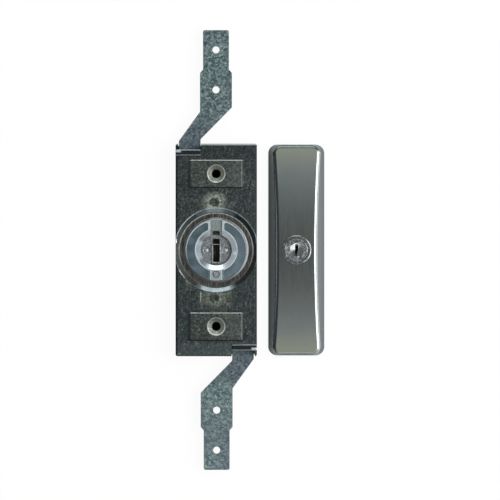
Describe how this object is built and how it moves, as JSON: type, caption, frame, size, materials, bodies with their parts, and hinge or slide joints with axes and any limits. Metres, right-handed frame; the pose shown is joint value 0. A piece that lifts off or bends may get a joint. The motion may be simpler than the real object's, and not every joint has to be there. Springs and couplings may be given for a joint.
{
  "type": "garage door lock",
  "caption": "Roller door lock: flat steel case with a turning hub that slides lock arms out of opposite corners, and a crowned outer cover with a key cylinder.",
  "frame": {"origin": "on the hub's axis at the back plane, midway between the two fixing screw holes", "axes": "+Z from the case's back to the face that meets the door, +Y along the arms, +X from the case to the cover"},
  "size_m": [0.1064, 0.3144, 0.0173],
  "materials": {
    "case_steel": "dark zinc plated, mottled",
    "dark_steel": "dark, oiled",
    "bright_steel": "bright, turned",
    "cast_zinc": "cast zinc, satin",
    "galvanised_steel": "hot dip galvanised, spangled",
    "satin_nickel": "satin nickel plate",
    "polished_chrome": "polished",
    "spring_brass": "rolled brass"
  },
  "bodies": {
    "case": {"case_shell": "case_steel", "back_plate": "case_steel", "upper_spacer": "dark_steel", "lower_spacer": "dark_steel", "upper_arm_guide": "dark_steel", "lower_arm_guide": "dark_steel", "cover_shell": "satin_nickel", "screw_inserts": "spring_brass", "cylinder_housing": "polished_chrome", "cylinder_nut": "spring_brass"},
    "hub": {"drive_hub": "cast_zinc", "hub_screw": "bright_steel", "cam_plate": "dark_steel", "thrust_washer": "bright_steel", "retainer_disc": "dark_steel", "slot_liner": "bright_steel", "grip_rivets": "dark_steel", "grip_spring": "spring_brass", "upper_crank_pin": "bright_steel", "lower_crank_pin": "bright_steel"},
    "upper_arm": {"upper_arm": "galvanised_steel"},
    "lower_arm": {"lower_arm": "galvanised_steel"},
    "key_plug": {"key_plug": "polished_chrome", "wafers": "spring_brass", "plug_clip": "bright_steel"}
  },
  "joints": [
    {"name": "hub_turn", "type": "hinge", "parent": "case", "child": "hub", "pos_m": [0, 0, 0.012], "axis": [0, 0, -1], "range_deg": [0, 90]},
    {"name": "upper_arm_slide", "type": "slide", "parent": "case", "child": "upper_arm", "axis": [0, 1, 0], "range_m": [0, 0.02264]},
    {"name": "lower_arm_slide", "type": "slide", "parent": "case", "child": "lower_arm", "axis": [0, -1, 0], "range_m": [0, 0.02264]},
    {"name": "key_turn", "type": "hinge", "parent": "case", "child": "key_plug", "pos_m": [0.0573, 0, 0.01], "axis": [0, 0, -1], "range_deg": [0, 90]}
  ],
  "couplings": [
    {"joint": "upper_arm_slide", "follows": "hub_turn", "m_per_rad": 0.014405},
    {"joint": "lower_arm_slide", "follows": "hub_turn", "m_per_rad": 0.014405}
  ]
}
